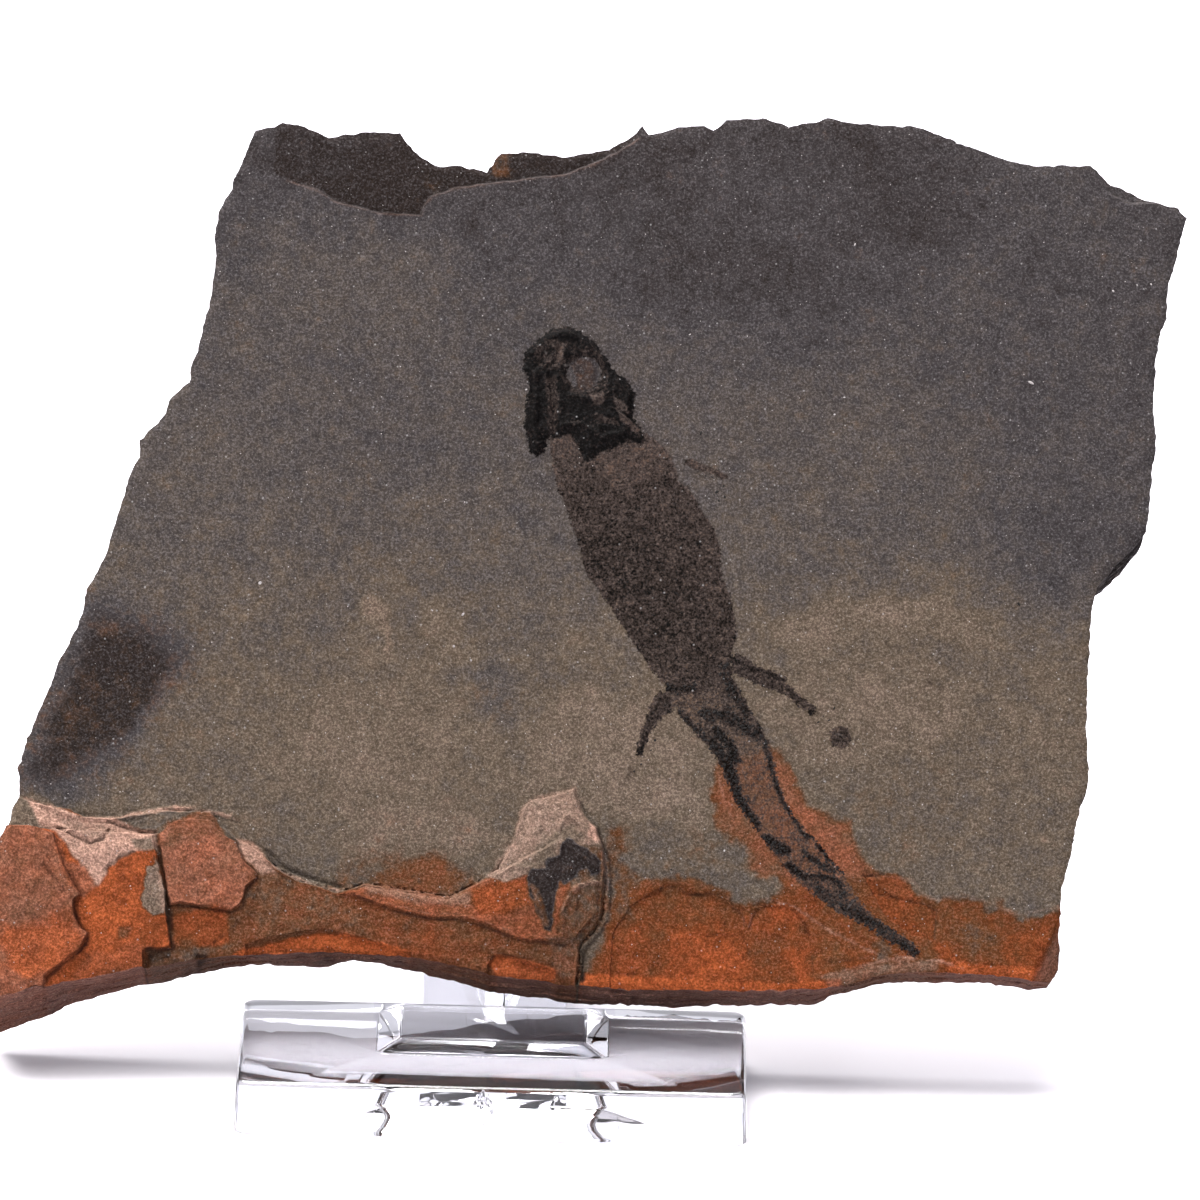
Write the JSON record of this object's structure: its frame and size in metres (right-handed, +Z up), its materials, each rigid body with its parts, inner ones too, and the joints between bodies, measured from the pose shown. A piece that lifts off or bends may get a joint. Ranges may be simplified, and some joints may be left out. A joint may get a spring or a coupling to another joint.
{
  "type": "fossil amphibian",
  "caption": "Dark carbonised fossil of a small larval amphibian on a broken shale slab, leaning back in a clear plastic display stand.",
  "frame": {"origin": "bottom centre of the display's bounding box, on the surface it stands on", "axes": "+X to the right across the slab's face, +Y away from the viewer to the foot behind, +Z up"},
  "size_m": [0.1186, 0.076, 0.09],
  "materials": {
    "shale": "matt, fine speckled grain with rust-orange lower edge",
    "bone": "near-black mineralised bone, low sheen",
    "film": "dark brown carbon film, matt",
    "clear_plastic": "clear moulded plastic, polished"
  },
  "bodies": {
    "root": {"slab": "shale", "skull": "bone", "body": "film", "left_hind_leg": "film", "right_hind_leg": "film", "right_hind_foot": "film", "foreleg": "film", "stand_base": "clear_plastic", "back_rest": "clear_plastic"}
  },
  "joints": []
}
